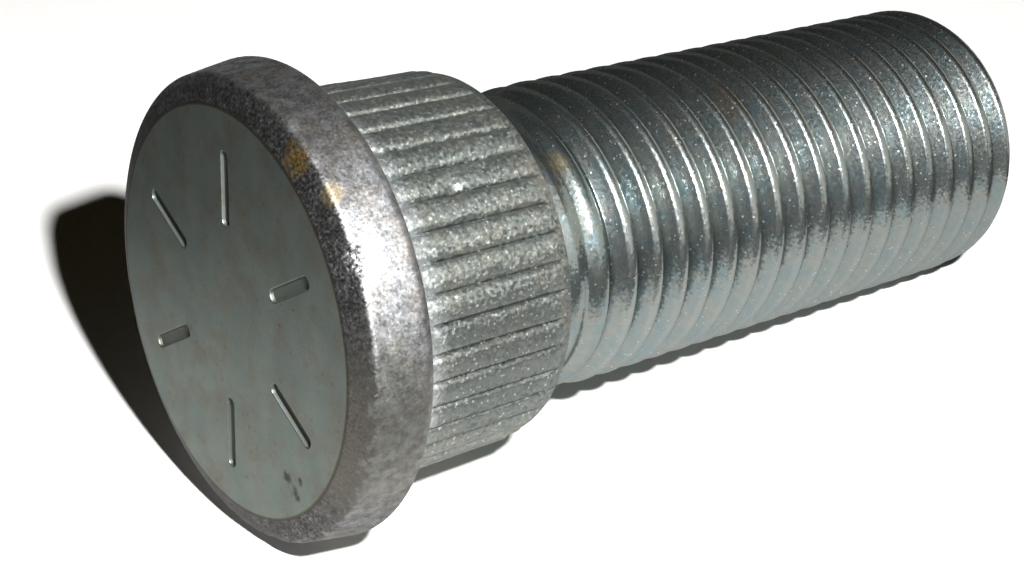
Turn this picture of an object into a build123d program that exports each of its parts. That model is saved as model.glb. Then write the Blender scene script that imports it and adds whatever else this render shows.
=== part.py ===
import os
from math import radians, tan

from build123d import *

# Press-in wheel stud. Sizes in millimetres. The stud stands on its head, and +Z runs up to the thread's tip.

# Thread
thread_nominal = 14.0
thread_pitch = 1.5
crest_allowance = 0.15
neck_length = 1.3
overall_length = 42.1
tip_chamfer_angle = 45.0

# Head
head_diameter = 20.3
head_thickness = 3.1
rim_draft = 0.4
shoulder_width = 1.16
shoulder_depth = 0.52
rim_front_radius = 0.2
rim_rear_radius = 0.45

# Serrations
serration_diameter = 16.75
serration_length = 8.3
serration_count = 42
serration_depth = 0.42
serration_crest_share = 0.12
serration_end_chamfer = 0.25
neck_fillet = 0.35

# A rolled thread grows from a blank of the pitch diameter, and its root lies below that blank.
pitch_drop = 0.6495
root_drop = 1.2269
crest_radius = (thread_nominal - crest_allowance) / 2
blank_radius = (thread_nominal - pitch_drop * thread_pitch) / 2
root_radius = (thread_nominal - root_drop * thread_pitch) / 2
run_out = thread_pitch
tip_chamfer_length = (crest_radius - root_radius) / tan(radians(tip_chamfer_angle))

head_radius = head_diameter / 2
front_radius = head_radius - rim_draft
face_radius = front_radius - shoulder_width

serration_radius = serration_diameter / 2
serration_root = serration_radius - serration_depth
serration_end = head_thickness + serration_length
serration_step = 360 / serration_count
groove_mouth = serration_step * (1 - serration_crest_share)
groove_overshoot = 0.3
groove_mouth_half = serration_radius * tan(radians(groove_mouth / 2))
groove_top_half = groove_mouth_half * (serration_depth + groove_overshoot) / serration_depth

neck_end = serration_end + neck_length
thread_start = neck_end + run_out

with BuildPart() as wheel_stud:
    # One turned outline: head, serrated collar, neck, thread at its crest diameter and the chamfered tip.
    with BuildSketch(Plane.XZ) as outline:
        with BuildLine():
            Polyline(
                (0, 0),
                (face_radius, 0),
                (front_radius, shoulder_depth),
                (head_radius, head_thickness),
                (serration_radius, head_thickness),
                (serration_radius, serration_end - serration_end_chamfer),
                (serration_radius - serration_end_chamfer, serration_end),
                (blank_radius, serration_end),
                (blank_radius, neck_end),
                (crest_radius, thread_start),
                (crest_radius, overall_length - tip_chamfer_length),
                (root_radius, overall_length),
                (0, overall_length),
                close=True,
            )
        make_face()
        fillet(outline.vertices().sort_by_distance((front_radius, shoulder_depth))[0], rim_front_radius)
        fillet(outline.vertices().sort_by_distance((head_radius, head_thickness))[0], rim_rear_radius)
        fillet(outline.vertices().sort_by_distance((blank_radius, serration_end))[0], neck_fillet)
    revolve(axis=Axis.Z)

    # Straight serrations rolled round the collar, from under the head to the collar's end.
    with BuildSketch(Plane.XY.offset(head_thickness)) as grooves:
        with PolarLocations(0, serration_count):
            Polygon(
                (serration_root, 0),
                (serration_radius + groove_overshoot, -groove_top_half),
                (serration_radius + groove_overshoot, groove_top_half),
                align=None,
            )
    extrude(amount=serration_length, mode=Mode.SUBTRACT)

wheel_stud.part.label = "wheel_stud"
os.makedirs("parts", exist_ok=True)
export_step(wheel_stud.part, "parts/wheel_stud.step")
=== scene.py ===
from math import cos, pi, radians, sin, tan

import bmesh
import bpy
from mathutils import Matrix, Vector, noise


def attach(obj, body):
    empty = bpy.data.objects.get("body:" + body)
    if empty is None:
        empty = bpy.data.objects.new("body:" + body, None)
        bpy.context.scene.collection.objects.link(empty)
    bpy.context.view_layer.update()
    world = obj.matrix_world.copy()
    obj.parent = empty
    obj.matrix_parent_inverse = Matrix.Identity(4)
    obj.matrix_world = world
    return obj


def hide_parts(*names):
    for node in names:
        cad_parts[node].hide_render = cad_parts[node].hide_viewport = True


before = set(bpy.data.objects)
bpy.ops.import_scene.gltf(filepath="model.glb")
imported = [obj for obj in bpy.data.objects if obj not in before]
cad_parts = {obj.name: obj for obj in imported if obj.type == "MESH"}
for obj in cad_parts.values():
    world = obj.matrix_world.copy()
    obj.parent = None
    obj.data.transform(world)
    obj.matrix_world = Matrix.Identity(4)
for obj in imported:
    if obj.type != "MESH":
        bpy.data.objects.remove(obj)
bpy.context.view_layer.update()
bpy.context.scene.view_settings.view_transform = "Standard"


# The head: a disc upset on the end of a steel bar in one blow, so its edge swells towards the back.
# A shallow cone leads from the flat face to the rim, and the rim's corners are rounded by the die.
# Sizes are in millimetres, up to the end of the thread, where the finished mesh is scaled to metres.
mm = 0.001
round_steps = 360
head_thickness = 3.1
face_radius = 8.59
rim_front = (9.75, 0.52)
rim_back = (10.141, head_thickness)
collar_foot = 8.6
face_round = 0.12
rim_front_round = 0.14
rim_back_round = 0.53
head_outline = (
    (face_radius, 0.0), (8.95, 0.161), (9.3, 0.318), rim_front, (9.789, 0.77), (9.831, 1.04), (9.886, 1.4),
    (9.956, 1.85), (10.026, 2.3), rim_back, (collar_foot, head_thickness),
)

stud = bmesh.new()
corners = [stud.verts.new((radius, 0.0, height)) for radius, height in head_outline]
outline = [stud.edges.new(pair) for pair in zip(corners, corners[1:])]
bmesh.ops.spin(stud, geom=corners + outline, axis=(0, 0, 1), angle=2 * pi, steps=round_steps, use_merge=True)


def round_corner(radius, height, offset, segments):
    """Rounds the corner that runs round the stud at this radius and height."""
    hoop = [
        edge for edge in stud.edges
        if all(abs(v.co.z - height) < 1e-3 and abs(v.co.xy.length - radius) < 1e-3 for v in edge.verts)
    ]
    bmesh.ops.bevel(
        stud, geom=hoop, offset=offset, offset_type="OFFSET", segments=segments, profile=0.5, affect="EDGES",
        material=-1,
    )


round_corner(*rim_back, rim_back_round, 7)
round_corner(*rim_front, rim_front_round, 4)
round_corner(face_radius, 0.0, face_round, 3)

# Handling has dented the rim's front corner: bearing round the head, reach and depth of each dent.
rim_dents = (
    (10.0, 0.50, 0.30), (13.5, 0.42, 0.12), (-22.0, 0.5, 0.05), (49.0, 0.45, 0.05), (118.0, 0.5, 0.06),
    (205.0, 0.6, 0.07), (291.0, 0.5, 0.06),
)
dent_height = rim_front[1] + 0.08
dent_lift = 6.0
for bearing, reach, depth in rim_dents:
    turn = radians(bearing)
    centre = Vector((rim_front[0] * cos(turn), rim_front[0] * sin(turn), dent_height))
    pushed = Vector((-centre.x, -centre.y, dent_lift)).normalized()
    for v in stud.verts:
        near = (v.co - centre).length / reach
        if near < 2.0:
            v.co += pushed * depth * (1 - near / 2) ** 2


# The stamped strokes: six plain radial dashes struck into the flat face with a punch, each a trough with
# sloping walls. The face is then filled in round their mouths.
stroke_count = 6
stroke_bearing = 12.0
stroke_middle = 5.35
stroke_size = (3.2, 0.62)
stroke_corner = 0.26
stroke_reach = face_radius - 1.0
trough_steps = ((0.03, 0.012), (0.055, 0.13), (0.06, 0.02))
face_border = 0.993


def punched():
    """The faces of the strokes, which lie well inside the head's edge."""
    return [face for face in stud.faces if face.calc_center_median().xy.length < stroke_reach]


def with_parts(faces):
    """The corners and edges of these faces, and the faces themselves."""
    face_corners = dict.fromkeys(v for face in faces for v in face.verts)
    face_edges = dict.fromkeys(edge for face in faces for edge in face.edges)
    return [*face_corners, *face_edges, *faces]


def corners_in(parts):
    """The corners among these parts of the mesh."""
    return [part for part in parts if isinstance(part, bmesh.types.BMVert)]


face_edge = [edge for edge in stud.edges if edge.is_boundary and edge.verts[0].co.z < 1.0]
border = bmesh.ops.extrude_edge_only(stud, edges=face_edge)["geom"]
bmesh.ops.scale(stud, vec=(face_border, face_border, 1.0), verts=corners_in(border))
mouth = bmesh.ops.create_grid(stud, x_segments=1, y_segments=1, size=0.5)["verts"]
bmesh.ops.scale(stud, vec=(*stroke_size, 1.0), verts=mouth)
bmesh.ops.translate(stud, vec=(stroke_middle, 0.0, 0.0), verts=mouth)
bmesh.ops.rotate(stud, verts=mouth, cent=(0, 0, 0), matrix=Matrix.Rotation(radians(stroke_bearing), 3, "Z"))
bmesh.ops.bevel(
    stud, geom=mouth, offset=stroke_corner, offset_type="OFFSET", segments=5, profile=0.5, affect="VERTICES",
    material=-1,
)
trough_floor = punched()
for shrink, sink in trough_steps:
    bmesh.ops.inset_individual(stud, faces=trough_floor, thickness=shrink, depth=sink)
bmesh.ops.spin(
    stud, geom=with_parts(punched()), axis=(0, 0, 1), angle=2 * pi * (stroke_count - 1) / stroke_count,
    steps=stroke_count - 1, use_duplicate=True,
)
open_face = [e for e in stud.edges if e.is_boundary and all(abs(v.co.z) < 1e-4 for v in e.verts)]
bmesh.ops.triangle_fill(stud, edges=open_face, use_beauty=True, normal=(0, 0, -1))


# The serrations: forty-two low teeth rolled straight along the collar, which bite into the hub when the
# stud is pressed in. Broad crests, a little ragged from the roll, stand between narrow grooves, and the
# collar's upper end is a plain land.
collar_start = head_thickness
collar_end = 11.4
collar_rows = 34
tooth_count = 42
tooth_crest = 8.37
tooth_root = 8.06
tooth_bearing = -1.4
tooth_shape = (
    (0.0, 0.0), (0.035, 0.32), (0.08, 0.60), (0.14, 0.78), (0.25, 0.91), (0.5, 1.0),
    (0.75, 0.91), (0.86, 0.78), (0.92, 0.60), (0.965, 0.32), (1.0, 0.0),
)
rag_depth = 0.0042
rags_across = 1.1
rags_along = 2.6
land_start = 10.75
land_end = 11.05
land_radius = 8.12
land_wander = 0.1
end_round = 0.16
quarter_steps = 4
collar_knocks = (((8.30, -0.38, 6.75), 0.5, 0.16), ((8.32, -1.05, 8.6), 0.35, 0.10))

tooth = []
for share, rise in tooth_shape:
    radius = tooth_root + rise * (tooth_crest - tooth_root)
    turn = radians(tooth_bearing) + 2 * pi * share / tooth_count
    tooth.append(stud.verts.new((radius * cos(turn), radius * sin(turn), collar_start)))
tooth_edges = [stud.edges.new(pair) for pair in zip(tooth, tooth[1:])]
bmesh.ops.spin(
    stud, geom=tooth + tooth_edges, axis=(0, 0, 1), angle=2 * pi * (tooth_count - 1) / tooth_count,
    steps=tooth_count - 1, use_duplicate=True,
)
bmesh.ops.remove_doubles(stud, verts=[v for v in stud.verts if v.is_wire], dist=1e-3)


def draw_up(edges, height):
    """Draws an open loop of edges up to this height, and gives the new loop's edges and corners."""
    made = bmesh.ops.extrude_edge_only(stud, edges=edges)["geom"]
    ring = corners_in(made)
    for v in ring:
        v.co.z = height
    ring_set = set(ring)
    return [e for e in made if isinstance(e, bmesh.types.BMEdge) and ring_set.issuperset(e.verts)], ring


def ease(value, start, end):
    """0 as far as start and 1 from end on, with a smooth rise between."""
    share = min(1.0, max(0.0, (value - start) / (end - start)))
    return share * share * (3 - 2 * share)


foot_loop = [edge for edge in stud.edges if edge.is_wire]
loop = foot_loop
for row in range(1, collar_rows + 1):
    height = collar_start + (collar_end - end_round - collar_start) * row / collar_rows
    loop, ring = draw_up(loop, height)
    for v in ring:
        ragged = noise.noise(Vector((v.co.x * rags_across, v.co.y * rags_across, v.co.z * rags_along)))
        crest = max(0.0, (v.co.xy.length - tooth_root) / (tooth_crest - tooth_root))
        v.co.xy *= 1.0 - rag_depth * crest * max(0.0, ragged)
        plain = ease(height + land_wander * ragged, land_start, land_end)
        v.co.xy *= 1.0 + plain * (land_radius / v.co.xy.length - 1.0)
for place, reach, depth in collar_knocks:
    for v in stud.verts:
        near = (v.co - Vector(place)).length / reach
        if near < 1.0:
            v.co.xy -= v.co.xy.normalized() * depth * (1 - near * near)
for step in range(1, quarter_steps + 1):
    turn = radians(90.0 * step / quarter_steps)
    loop, ring = draw_up(loop, collar_end - end_round + end_round * step / quarter_steps)
    for v in ring:
        v.co.xy = v.co.xy.normalized() * (land_radius - end_round * (1 - cos(turn)))
collar_hole = [e for e in stud.edges if e.is_boundary and abs(e.verts[0].co.xy.length - collar_foot) < 1e-2]
bmesh.ops.bridge_loops(stud, edges=collar_hole + foot_loop)


# The neck and the thread: the bar is left bare for a millimetre above the collar, a little waisted. Then a
# right-hand thread is rolled into it. The first turns swell out of the neck, and a cone at the tip leads
# the nut on.
neck_radius = 6.513
neck_fillet = 0.35
neck_waist = 0.2
waist_start = 12.2
waist_end = 13.4
thread_pitch = 1.5
crest_radius = 6.925
root_radius = 6.06
crest_height = 15.707
crest_bearing = 4.97
crest_round = 0.36
crest_arc = 50.0
crest_steps = 7
root_edge = 0.65
flank_foot = (0.62, 6.09)
turn_steps = 96
turn_count = 22
turns_below = 3
coil_start = 11.9
coil_seam = 0.1
growth_start = 12.4
full_thread = 16.4
stud_length = 42.1
tip_cone_start = 41.255
tip_cone_angle = 45.0
tip_border = 0.05
crease_angle = 38.0

for step in range(1, quarter_steps + 1):
    turn = radians(90.0 * step / quarter_steps)
    loop, ring = draw_up(loop, collar_end + neck_fillet * (1 - cos(turn)))
    for v in ring:
        v.co.xy = v.co.xy.normalized() * (neck_radius - neck_waist + neck_fillet * (1 - sin(turn)))
neck_loop, ring = draw_up(loop, coil_start - coil_seam)

lower_flank = [(-thread_pitch / 2, root_radius), (-root_edge, root_radius), (-flank_foot[0], flank_foot[1])]
upper_flank = [(-height, radius) for height, radius in reversed(lower_flank)]
crest_curve = []
for step in range(-crest_steps, crest_steps + 1):
    lean = radians(crest_arc) * step / crest_steps
    crest_curve.append((crest_round * sin(lean), crest_radius - crest_round * (1 - cos(lean))))
thread_shape = lower_flank + crest_curve + upper_flank

first_crest = crest_height - turns_below * thread_pitch
helix = [stud.verts.new((radius, 0.0, first_crest + height)) for height, radius in thread_shape]
helix_edges = [stud.edges.new(pair) for pair in zip(helix, helix[1:])]
bmesh.ops.rotate(stud, verts=helix, cent=(0, 0, 0), matrix=Matrix.Rotation(radians(crest_bearing), 3, "Z"))
below_thread = set(stud.faces)
bmesh.ops.spin(
    stud, geom=helix + helix_edges, axis=(0, 0, 1), dvec=(0, 0, thread_pitch / turn_steps), angle=2 * pi,
    steps=turn_steps,
)


def coil():
    """The corners, edges and faces of the thread's turns."""
    return with_parts([face for face in stud.faces if face not in below_thread])


first_turn = coil()
for turn in range(1, turn_count):
    copied = bmesh.ops.duplicate(stud, geom=first_turn)["geom"]
    bmesh.ops.translate(stud, verts=corners_in(copied), vec=(0, 0, turn * thread_pitch))
bmesh.ops.remove_doubles(stud, verts=corners_in(coil()), dist=2e-3)
for cut_height, outward in ((coil_start, -1), (stud_length, 1)):
    bmesh.ops.bisect_plane(
        stud, geom=coil(), dist=1e-4, plane_co=(0, 0, cut_height), plane_no=(0, 0, outward), clear_outer=True,
    )
for v in corners_in(coil()):
    grown = ease(v.co.z, growth_start, full_thread)
    waist = neck_waist * ease(v.co.z, waist_end, waist_start)
    radius = neck_radius - waist + (v.co.xy.length - neck_radius) * grown
    cone = crest_radius - max(0.0, v.co.z - tip_cone_start) * tan(radians(tip_cone_angle))
    v.co.xy = v.co.xy.normalized() * min(radius, cone)


def open_at(height):
    """The open edges of the stud at this height."""
    return [e for e in stud.edges if e.is_boundary and all(abs(v.co.z - height) < 1e-3 for v in e.verts)]


bmesh.ops.bridge_loops(stud, edges=neck_loop + open_at(coil_start))
tip_face = bmesh.ops.edgeloop_fill(stud, edges=open_at(stud_length))["faces"]
bmesh.ops.inset_region(stud, faces=tip_face, thickness=tip_border)
bmesh.ops.poke(stud, faces=tip_face)

bmesh.ops.remove_doubles(stud, verts=stud.verts, dist=1e-4)
bmesh.ops.recalc_face_normals(stud, faces=stud.faces)
for face in stud.faces:
    face.smooth = any(v.co.z > 1e-4 for v in face.verts)
    height = face.calc_center_median().z
    face.material_index = 0 if height < collar_start + 1e-3 else 1 if height < collar_end + 1e-3 else 2
for edge in stud.edges:
    edge.smooth = edge.calc_face_angle(0.0) < radians(crease_angle)
bmesh.ops.scale(stud, vec=(mm, mm, mm), verts=stud.verts)


def finished(shape, name):
    """A finished shape as an object of this name, at the origin of the scene."""
    mesh = bpy.data.meshes.new(name)
    shape.to_mesh(mesh)
    shape.free()
    made = bpy.data.objects.new(name, mesh)
    bpy.context.collection.objects.link(made)
    return made


plated_stud = finished(stud, "plated_stud")


# The finish: a few microns of zinc over the whole stud, under a clear passivate that greys it towards green.
# It is dull and stained on the face, gritty on the serrations and bright where the thread was rolled.
def set_inputs(tree, node, values):
    """Links each value that is a socket to the node's input of that name, and sets any other value there."""
    for name, value in values.items():
        if isinstance(value, bpy.types.NodeSocket):
            tree.links.new(value, node.inputs[name])
        else:
            node.inputs[name].default_value = value


def add(tree, kind, values=None, **settings):
    """A node of this kind in the tree, with its settings and its inputs."""
    made = tree.nodes.new(kind)
    for name, setting in settings.items():
        setattr(made, name, setting)
    set_inputs(tree, made, values or {})
    return made


def sum_of(tree, operation, first, second=0.0):
    """The result of one sum on two values."""
    return add(tree, "ShaderNodeMath", {0: first, 1: second}, operation=operation).outputs[0]


def vector_sum(tree, operation, values):
    """The outputs of one sum on vectors: Vector, and Value for a length, a distance or a product."""
    return add(tree, "ShaderNodeVectorMath", values, operation=operation).outputs


def span(tree, value, low, high, start=0.0, end=1.0):
    """The value taken from low..high to start..end, and held there beyond."""
    steps = {"Value": value, "From Min": low, "From Max": high, "To Min": start, "To Max": end}
    return add(tree, "ShaderNodeMapRange", steps).outputs["Result"]


def tint(tree, mask, under, over, strength=1.0):
    """The colour under, covered where the mask is 1 by the colour over, as far as the strength goes."""
    share = mask if strength == 1.0 else sum_of(tree, "MULTIPLY", mask, strength)
    mix = add(tree, "ShaderNodeMix", {0: share}, data_type="RGBA")
    for index, colour in ((6, under), (7, over)):
        plain = isinstance(colour, tuple)
        set_inputs(tree, mix, {index: (*colour, 1.0) if plain else colour})
    return mix.outputs[2]


def new_group(name, inputs, outputs):
    """A node group with these sockets, the sockets that it is given and the node that tells its results."""
    tree = bpy.data.node_groups.new(name, "ShaderNodeTree")
    for way, sockets in (("INPUT", inputs), ("OUTPUT", outputs)):
        for socket, kind in sockets.items():
            tree.interface.new_socket(name=socket, in_out=way, socket_type="NodeSocket" + kind)
    return tree, tree.nodes.new("NodeGroupInput").outputs, tree.nodes.new("NodeGroupOutput")


# Where a point is on the stud, in millimetres: its place, its distance from the axis and its height.
on_stud, given, told = new_group("on_stud", {}, {"Place": "Vector", "Radius": "Float", "Height": "Float"})
metres = add(on_stud, "ShaderNodeTexCoord").outputs["Object"]
place = vector_sum(on_stud, "SCALE", {0: metres, "Scale": 1 / mm})["Vector"]
parts = add(on_stud, "ShaderNodeSeparateXYZ", {0: place}).outputs
across = add(on_stud, "ShaderNodeCombineXYZ", {0: parts[0], 1: parts[1]}).outputs[0]
radius = vector_sum(on_stud, "LENGTH", {0: across})["Value"]
set_inputs(on_stud, told, {"Place": place, "Radius": radius, "Height": parts[2]})

# Cloudy patches of a given size in millimetres.
mottle, given, told = new_group(
    "mottle", {"Place": "Vector", "Size": "Float", "Low": "Float", "High": "Float"}, {"Mask": "Float"},
)
scaled = sum_of(mottle, "DIVIDE", 1.0, given["Size"])
patches = add(
    mottle, "ShaderNodeTexNoise",
    {"Vector": given["Place"], "Scale": scaled, "Detail": 4.0, "Roughness": 0.62},
).outputs["Fac"]
set_inputs(mottle, told, {"Mask": span(mottle, patches, given["Low"], given["High"])})

# Zinc crystals of a given size in millimetres: the surface leans one way and another, and its shade wanders.
grit, given, told = new_group(
    "grit", {"Place": "Vector", "Size": "Float", "Tilt": "Float"}, {"Normal": "Vector", "Fleck": "Float"},
)
scaled = sum_of(grit, "DIVIDE", 1.0, given["Size"])
crystals = add(
    grit, "ShaderNodeTexNoise",
    {"Vector": given["Place"], "Scale": scaled, "Detail": 2.0, "Roughness": 0.6},
).outputs["Color"]
lean_ways = vector_sum(grit, "SUBTRACT", {0: crystals, 1: (0.5, 0.5, 0.5)})["Vector"]
leaning = vector_sum(grit, "SCALE", {0: lean_ways, "Scale": given["Tilt"]})["Vector"]
straight = add(grit, "ShaderNodeNewGeometry").outputs["Normal"]
tilted = vector_sum(grit, "ADD", {0: straight, 1: leaning})["Vector"]
shade = add(grit, "ShaderNodeSeparateColor", {0: crystals}).outputs[0]
set_inputs(grit, told, {
    "Normal": vector_sum(grit, "NORMALIZE", {0: tilted})["Vector"],
    "Fleck": span(grit, shade, 0.3, 0.7),
})

# Painted glints: single bright spots of colour that stand in for crystals catching the light, scattered one
# to a cell of the given size in millimetres. The rarity is the share of empty cells.
painted_glint, given, told = new_group(
    "painted_glint", {"Place": "Vector", "Size": "Float", "Rarity": "Float"}, {"Mask": "Float"},
)
scaled = sum_of(painted_glint, "DIVIDE", 1.0, given["Size"])
cells = add(painted_glint, "ShaderNodeTexVoronoi", {"Vector": given["Place"], "Scale": scaled}).outputs
lot = add(painted_glint, "ShaderNodeSeparateColor", {0: cells["Color"]}).outputs
largest_spot = 0.42
reach = sum_of(painted_glint, "SUBTRACT", cells["Distance"], sum_of(painted_glint, "MULTIPLY", lot[1], largest_spot))
spot = span(painted_glint, reach, 0.06, -0.04)
filled = sum_of(painted_glint, "GREATER_THAN", lot[0], given["Rarity"])
set_inputs(painted_glint, told, {"Mask": sum_of(painted_glint, "MULTIPLY", spot, filled)})

# Pores too fine to see: a share of the surface is rough and the rest is smooth.
pores, given, told = new_group(
    "pores", {"Place": "Vector", "Share": "Float", "Smooth": "Float", "Rough": "Float"},
    {"Roughness": "Float"},
)
pore_density = 997.0
dots = vector_sum(pores, "SCALE", {0: given["Place"], "Scale": pore_density})["Vector"]
dots = add(pores, "ShaderNodeTexWhiteNoise", {"Vector": dots}).outputs["Value"]
open_pore = sum_of(pores, "LESS_THAN", dots, given["Share"])
set_inputs(pores, told, {"Roughness": span(pores, open_pore, 0.0, 1.0, given["Smooth"], given["Rough"])})

# One ragged stain about a place.
stain, given, told = new_group(
    "stain", {"Place": "Vector", "Centre": "Vector", "Size": "Float", "Ragged": "Float"}, {"Mask": "Float"},
)
far = vector_sum(stain, "DISTANCE", {0: given["Place"], 1: given["Centre"]})["Value"]
rags = add(
    stain, "ShaderNodeTexNoise",
    {"Vector": given["Place"], "Scale": 2.4, "Detail": 5.0, "Roughness": 0.65},
).outputs["Fac"]
rags = sum_of(stain, "MULTIPLY", sum_of(stain, "SUBTRACT", rags, 0.5), given["Ragged"])
edge = sum_of(stain, "ADD", sum_of(stain, "DIVIDE", far, given["Size"]), rags)
set_inputs(stain, told, {"Mask": span(stain, edge, 1.0, 0.45)})


def effect(tree, kind, **values):
    """The outputs of a node that carries one of the groups."""
    return add(tree, "ShaderNodeGroup", values, node_tree=kind).outputs


def plating(name):
    """A new metal coat on the stud: its node tree, its shader and the sockets that say where a point is."""
    coat = bpy.data.materials.new(name)
    coat.use_nodes = True
    plated_stud.data.materials.append(coat)
    shader = coat.node_tree.nodes["Principled BSDF"]
    shader.inputs["Metallic"].default_value = 1.0
    shader.inputs["Specular Tint"].default_value = (0.55, 0.55, 0.55, 1)
    at = effect(coat.node_tree, on_stud)
    return coat.node_tree, shader, at["Place"], at["Radius"], at["Height"]


# Head plating: a dull face with brown specks, a dark grainy cone round it and a mottled rim.
tree, shader, place, radius, height = plating("head_plating")
cloud = effect(tree, mottle, Place=place, Size=2.4, Low=0.38, High=0.62)["Mask"]
fine = effect(tree, mottle, Place=place, Size=0.11, Low=0.34, High=0.66)["Mask"]
brown = effect(tree, mottle, Place=place, Size=1.5, Low=0.45, High=0.63)["Mask"]
speck = effect(tree, mottle, Place=place, Size=0.3, Low=0.58, High=0.70)["Mask"]
patch = effect(tree, mottle, Place=place, Size=0.5, Low=0.36, High=0.64)["Mask"]
fleck = effect(tree, mottle, Place=place, Size=0.14, Low=0.55, High=0.62)["Mask"]
bite = effect(tree, stain, Place=place, Centre=(9.6, 1.9, 0.8), Size=0.9, Ragged=0.9)["Mask"]
tan_film = effect(tree, stain, Place=place, Centre=(5.2, 7.8, 0.2), Size=5.4, Ragged=0.9)["Mask"]
gold = effect(tree, stain, Place=place, Centre=(9.05, -2.75, 0.36), Size=0.95, Ragged=1.6)["Mask"]
thin_gold = effect(tree, stain, Place=place, Centre=(9.70, -0.75, 0.60), Size=0.6, Ragged=1.4)["Mask"]

cone_edge = sum_of(tree, "ADD", radius, sum_of(tree, "MULTIPLY", fine, 0.08))
cone_share = span(tree, cone_edge, face_radius + 0.03, face_radius + 0.11)
ragged = sum_of(tree, "ADD", sum_of(tree, "MULTIPLY", patch, 0.26), sum_of(tree, "MULTIPLY", fine, 0.14))
ragged = sum_of(tree, "SUBTRACT", ragged, sum_of(tree, "MULTIPLY", bite, 0.45))
rim_share = span(tree, sum_of(tree, "ADD", height, ragged), 0.60, 0.82)
tilt = span(tree, cone_share, 0.0, 1.0, 0.12, 1.0)
tilt = sum_of(tree, "SUBTRACT", tilt, sum_of(tree, "MULTIPLY", rim_share, 0.55))
crystal = effect(tree, grit, Place=place, Size=0.13, Tilt=tilt)

dull = tint(tree, cloud, (0.208, 0.251, 0.238), (0.250, 0.283, 0.260))
dull = tint(tree, fine, dull, (0.150, 0.165, 0.152), 0.25)
dull = tint(tree, brown, dull, (0.205, 0.187, 0.145), 0.5)
speck = sum_of(tree, "MULTIPLY", speck, span(tree, brown, 0.0, 1.0, 0.10, 0.6))
dull = tint(tree, speck, dull, (0.095, 0.078, 0.058))
face_pits = (((-0.51, 6.98, 0.0), 0.30), ((-0.40, 7.75, 0.0), 0.32), ((0.35, 7.5, 0.0), 0.2))
for centre, size in face_pits:
    pit = effect(tree, stain, Place=place, Centre=centre, Size=size, Ragged=2.6)["Mask"]
    dull = tint(tree, pit, dull, (0.050, 0.040, 0.030), 0.75)
# The strokes' troughs are darkened: painted shade in the recesses.
trough = span(tree, height, 0.01, 0.07)
dull = tint(tree, trough, dull, (0.055, 0.052, 0.045), 0.5)

grainy = tint(tree, crystal["Fleck"], (0.050, 0.050, 0.051), (0.250, 0.253, 0.260))
grainy = tint(tree, patch, grainy, (0.052, 0.046, 0.040), 0.65)
tan_dust = tint(tree, fine, (0.225, 0.214, 0.188), (0.150, 0.139, 0.121))
grainy = tint(tree, tan_film, grainy, tan_dust, 0.75)
gold_dust = tint(tree, fine, (0.100, 0.060, 0.018), (0.560, 0.380, 0.110))
grainy = tint(tree, gold, grainy, gold_dust, 0.7)

blotch = tint(tree, patch, (0.150, 0.154, 0.161), (0.390, 0.398, 0.410))
blotch = tint(tree, fine, blotch, (0.130, 0.130, 0.134), 0.55)
blotch = tint(tree, fleck, blotch, (0.075, 0.073, 0.073), 0.5)
blotch = tint(tree, brown, blotch, (0.250, 0.215, 0.165), 0.35)
tan_rim = tint(tree, patch, (0.190, 0.190, 0.172), (0.325, 0.328, 0.304))
blotch = tint(tree, tan_film, blotch, tan_rim, 0.75)

colour = tint(tree, cone_share, dull, grainy)
off_edge = sum_of(tree, "ABSOLUTE", sum_of(tree, "SUBTRACT", radius, face_radius + 0.01))
colour = tint(tree, span(tree, off_edge, 0.10, 0.03, 0.0, 0.7), colour, (0.075, 0.058, 0.042))
colour = tint(tree, rim_share, colour, blotch)
colour = tint(tree, thin_gold, colour, (0.480, 0.380, 0.200), 0.5)
rough = span(tree, cone_share, 0.0, 1.0, span(tree, trough, 0.0, 1.0, 0.46, 0.70), 0.50)
rough = span(tree, rim_share, 0.0, 1.0, rough, span(tree, fine, 0.0, 1.0, 0.43, 0.56))
set_inputs(tree, shader, {"Base Color": colour, "Roughness": rough, "Normal": crystal["Normal"]})

# Serration plating: gritty, rubbed pale on the crests, with painted shade in the grooves and a painted
# highlight beside the head.
tree, shader, place, radius, height = plating("serration_plating")
crystal = effect(tree, grit, Place=place, Size=0.19, Tilt=1.3)
warm = effect(tree, mottle, Place=place, Size=1.3, Low=0.42, High=0.64)["Mask"]
fine = effect(tree, mottle, Place=place, Size=0.2, Low=0.32, High=0.68)["Mask"]
# A darker bluish patch low on the collar's near side: painted shade.
collar_shade_patch = effect(tree, stain, Place=place, Centre=(5.4, 6.8, 8.0), Size=4.8, Ragged=0.5)["Mask"]
# Painted glints: bright spots of colour scattered over the teeth.
glint_mask = effect(tree, painted_glint, Place=place, Size=0.16, Rarity=0.66)["Mask"]
# A pale band of the teeth beside the head: a painted highlight standing in for glints on the tooth ends.
head_side_highlight = span(tree, sum_of(tree, "ADD", height, sum_of(tree, "MULTIPLY", fine, 0.5)), 5.2, 4.6, 0.0, 0.85)
# The grooves are darkened: painted shade.
groove_shade = span(tree, radius, tooth_root + 0.09, tooth_root + 0.01, 0.0, 0.6)
crest = span(tree, radius, tooth_crest - 0.035, tooth_crest - 0.002, 0.0, 0.35)
colour = tint(tree, crystal["Fleck"], (0.180, 0.204, 0.197), (0.372, 0.410, 0.392))
colour = tint(tree, fine, colour, (0.150, 0.156, 0.152), 0.3)
colour = tint(tree, warm, colour, (0.365, 0.348, 0.295), 0.45)
colour = tint(tree, groove_shade, colour, (0.100, 0.096, 0.085))
colour = tint(tree, crest, colour, (0.430, 0.450, 0.445))
colour = tint(tree, collar_shade_patch, colour, (0.105, 0.118, 0.124), 0.44)
colour = tint(tree, head_side_highlight, colour, (0.540, 0.575, 0.580))
colour = tint(tree, glint_mask, colour, (0.880, 0.905, 0.905), 0.45)
rough = effect(tree, pores, Place=place, Share=0.42, Smooth=0.28, Rough=0.62)["Roughness"]
set_inputs(tree, shader, {"Base Color": colour, "Roughness": rough, "Normal": crystal["Normal"]})
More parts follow.
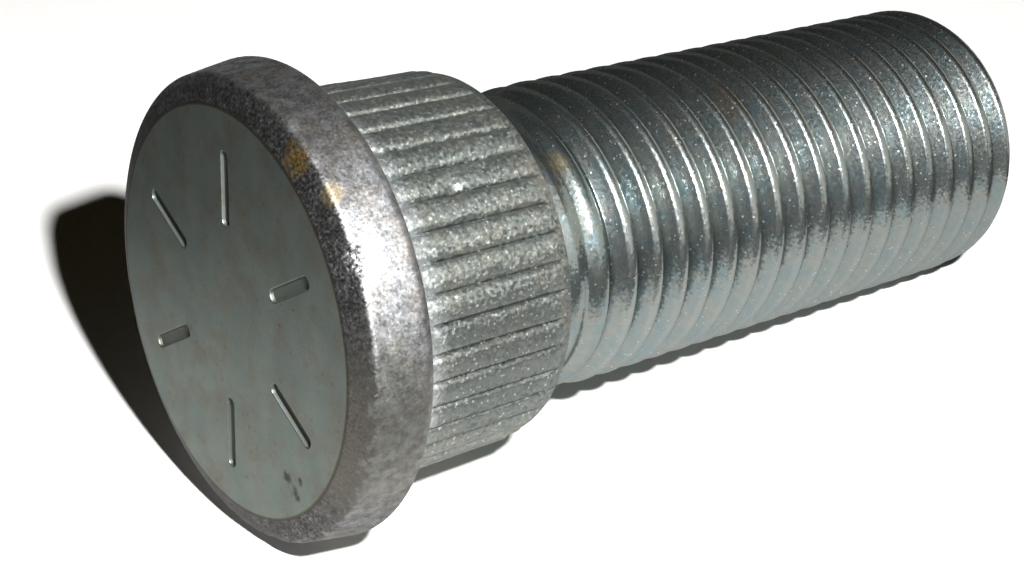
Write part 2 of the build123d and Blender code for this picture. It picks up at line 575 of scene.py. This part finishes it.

# Thread plating: smooth and bright, a little paler on the crests, with painted shade in the roots and a few
# smudges.
tree, shader, place, radius, height = plating("thread_plating")
cloud = effect(tree, mottle, Place=place, Size=0.9, Low=0.36, High=0.64)["Mask"]
patch = effect(tree, mottle, Place=place, Size=0.3, Low=0.36, High=0.64)["Mask"]
crystal = effect(tree, grit, Place=place, Size=0.15, Tilt=0.36)
smudge = effect(tree, stain, Place=place, Centre=(6.50, -2.0, 24.4), Size=1.3, Ragged=1.2)["Mask"]
gold = effect(tree, stain, Place=place, Centre=(6.62, -1.05, 13.6), Size=0.7, Ragged=0.8)["Mask"]
# Painted glints: a few bright spots of colour on the thread.
glint_mask = effect(tree, painted_glint, Place=place, Size=0.13, Rarity=0.86)["Mask"]
# The roots are darkened: painted shade.
root = span(tree, radius, root_radius + 0.28, root_radius + 0.06, 0.0, 0.65)
crest = span(tree, radius, crest_radius - 0.185, crest_radius - 0.045)
# Darker towards the tip: painted shade where the light falls off along the thread.
tip_shade = span(tree, height, 16.0, 42.0, 0.0, 0.30)
colour = tint(tree, cloud, (0.250, 0.325, 0.338), (0.328, 0.344, 0.320))
colour = tint(tree, patch, colour, (0.200, 0.220, 0.218), 0.3)
colour = tint(tree, root, colour, (0.130, 0.138, 0.130))
colour = tint(tree, crest, colour, (0.400, 0.420, 0.410), 0.35)
colour = tint(tree, tip_shade, colour, (0.140, 0.156, 0.154))
colour = tint(tree, smudge, colour, (0.300, 0.255, 0.200), 0.6)
colour = tint(tree, gold, colour, (0.520, 0.440, 0.240), 0.6)
colour = tint(tree, glint_mask, colour, (0.830, 0.880, 0.890), 0.25)
rough = effect(tree, pores, Place=place, Share=0.22, Smooth=0.20, Rough=0.47)["Roughness"]
rough = span(tree, glint_mask, 0.0, 1.0, rough, 0.40)
set_inputs(tree, shader, {"Base Color": colour, "Roughness": rough, "Normal": crystal["Normal"]})

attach(plated_stud, "root")
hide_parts("wheel_stud")


# The table: a pale matt board that the stud lies on, touched by the rim's back corner and by the last thread
# crest. Its slanting near edge thins away to nothing, and seen from underneath it lets the view through.
rim_touch = Vector((10.07, 2.7))
crest_touch = Vector((crest_radius, 40.6))
table_depth = 10.28 * mm
table_size = (0.082, 0.093)
table_shift = 0.0165
near_width = 0.80
edge_slope = 0.37
edge_near = 0.0255
edge_fade = 0.012
table_colour = (0.93, 0.92, 0.90, 1)
mirrored_colour = (0.90, 0.878, 0.845, 1)
mirrored_glow = 0.65
camera_place = Vector((65.706, 18.140, -35.160)) * mm
aim = Vector((-0.460, 1.871, 14.006)) * mm

lean = (rim_touch.x - crest_touch.x) / (crest_touch.y - rim_touch.y)
table_up = Vector((0.5 ** 0.5, -(0.5 ** 0.5), -lean)).normalized()
back = (camera_place - aim).normalized()
table_right = table_up.cross(back).normalized()
table_away = table_up.cross(table_right)
table_middle = aim - table_up * (aim.dot(table_up) + table_depth)


def stood_at(place, *axes):
    """The matrix that puts an object at this place, with its three axes along these ways."""
    return Matrix.Translation(place) @ Matrix(axes).transposed().to_4x4()


table = bmesh.new()
bmesh.ops.create_grid(table, x_segments=1, y_segments=1, size=0.5)
bmesh.ops.scale(table, vec=(*table_size, 1.0), verts=table.verts)
near_corners = [v for v in table.verts if v.co.y < 0]
bmesh.ops.scale(table, vec=(near_width, 1.0, 1.0), verts=near_corners)
bmesh.ops.translate(table, verts=table.verts, vec=(0.0, table_shift, 0.0))
for v in near_corners:
    v.co.y = edge_slope * v.co.x - edge_near
stand = stood_at(table_middle, table_right, table_away, table_up)
bmesh.ops.transform(table, verts=table.verts, matrix=stand)
table_top = finished(table, "table_top")

pale = bpy.data.materials.new("pale_table")
pale.use_nodes = True
tree = pale.node_tree
tree.nodes.clear()
matt = add(tree, "ShaderNodeBsdfDiffuse", {"Color": table_colour}).outputs[0]
glow = add(tree, "ShaderNodeEmission", {"Color": mirrored_colour}).outputs[0]
clear = add(tree, "ShaderNodeBsdfTransparent").outputs[0]
mirrored = add(tree, "ShaderNodeLightPath").outputs["Is Glossy Ray"]
glow_share = sum_of(tree, "MULTIPLY", mirrored, mirrored_glow)
seen = add(tree, "ShaderNodeMixShader", {0: glow_share, 1: matt, 2: glow}).outputs[0]
edge_way = table_away - edge_slope * table_right
edge_start = table_middle.dot(edge_way) - edge_near
where = add(tree, "ShaderNodeTexCoord").outputs["Object"]
inward = vector_sum(tree, "DOT_PRODUCT", {0: where, 1: edge_way})["Value"]
thin = span(tree, inward, edge_start, edge_start + edge_fade, 1.0, 0.0)
under = add(tree, "ShaderNodeNewGeometry").outputs["Backfacing"]
gone = sum_of(tree, "MAXIMUM", thin, under)
top = add(tree, "ShaderNodeMixShader", {0: gone, 1: seen, 2: clear}).outputs[0]
add(tree, "ShaderNodeOutputMaterial", {"Surface": top})
table_top.data.materials.append(pale)


# The surround: a round tent of dim cloth that only the stud's reflections see. It has a warm wall to the
# right, a grey card at the far side and grey ground below the table. Beyond it the world is white.
tent_radius = 3.6
wall_reach = 0.5
wall_top = 0.55
card_reach = 0.62
cloths = (
    ("dim_cloth", (1.0, 0.93, 0.82, 1), 0.028),
    ("grey_card", (1.0, 0.99, 0.96, 1), 0.10),
    ("grey_ground", (1.0, 0.98, 0.93, 1), 0.10),
    ("warm_wall", (1.0, 0.96, 0.87, 1), 0.95),
)
cloth_colour = (0.03, 0.03, 0.03, 1)

tent = bmesh.new()
bmesh.ops.create_uvsphere(tent, u_segments=48, v_segments=24, radius=tent_radius)
for face in tent.faces:
    way = face.calc_center_median().normalized()
    over = way.dot(table_up) > 0.0
    wall = way.dot(table_right) > wall_reach and way.dot(table_up) < wall_top
    card = way.dot(table_away) > card_reach
    face.material_index = 2 if not over else 3 if wall else 1 if card else 0
dark_tent = finished(tent, "dark_tent")
dark_tent.visible_camera = False
for name, glow_colour, strength in cloths:
    cloth = bpy.data.materials.new(name)
    cloth.use_nodes = True
    weave = cloth.node_tree.nodes["Principled BSDF"]
    weave.inputs["Base Color"].default_value = cloth_colour
    weave.inputs["Roughness"].default_value = 1.0
    weave.inputs["Emission Color"].default_value = glow_colour
    weave.inputs["Emission Strength"].default_value = strength
    dark_tent.data.materials.append(cloth)


def light_only(source, lit):
    """Lets a lamp or a glowing surface light this one object and nothing else."""
    source.light_linking.receiver_collection = bpy.data.collections.new(source.name + "_lights")
    source.light_linking.receiver_collection.objects.link(lit)


light_only(dark_tent, plated_stud)

world = bpy.data.worlds.new("studio")
world.use_nodes = True
world.node_tree.nodes["Background"].inputs["Color"].default_value = (1, 1, 1, 1)
world.node_tree.nodes["Background"].inputs["Strength"].default_value = 1.0
bpy.context.scene.world = world


# The lamps: three round soft boxes at one place beside the camera. One lights the stud, one lights the table
# evenly at any distance, and a wide warm one fills the shadow on the table.
stud_middle = Vector((0.0, 0.0, 14.0)) * mm
lamp_way = Vector((0.920, 0.111, -0.375))
lamp_distance = 0.09
lamp_place = stud_middle + lamp_way * lamp_distance


def soft_box(name, size, watts, lit):
    """A round soft box of this size in metres that faces the stud and lights only the object given."""
    lamp = bpy.data.lights.new(name, "AREA")
    lamp.shape = "DISK"
    lamp.size = size
    lamp.energy = watts
    box = bpy.data.objects.new(name, lamp)
    bpy.context.collection.objects.link(box)
    box.location = lamp_place
    box.rotation_mode = "QUATERNION"
    box.rotation_quaternion = (stud_middle - lamp_place).to_track_quat("-Z", "Y")
    box.visible_camera = False
    light_only(box, lit)
    return lamp


soft_box("stud_lamp", 0.013, 0.262, plated_stud)
room = soft_box("room_lamp", 0.4, 0.006, table_top)
room.color = (1.0, 0.72, 0.32)
even = soft_box("table_lamp", 0.004, 26.0, table_top)
even.use_nodes = True
spread = add(even.node_tree, "ShaderNodeLightFalloff", {"Strength": 1.0}).outputs["Constant"]
set_inputs(even.node_tree, even.node_tree.nodes["Emission"], {"Strength": spread})


# The camera: close in over the head, looking down on the table along the stud.
camera_data = bpy.data.cameras.new("camera")
camera_data.lens = 66.05
camera_data.sensor_width = 36.0
camera_data.clip_start = 0.002
camera = bpy.data.objects.new("camera", camera_data)
bpy.context.collection.objects.link(camera)
camera.matrix_world = stood_at(camera_place, table_right, back.cross(table_right), back)
bpy.context.scene.camera = camera
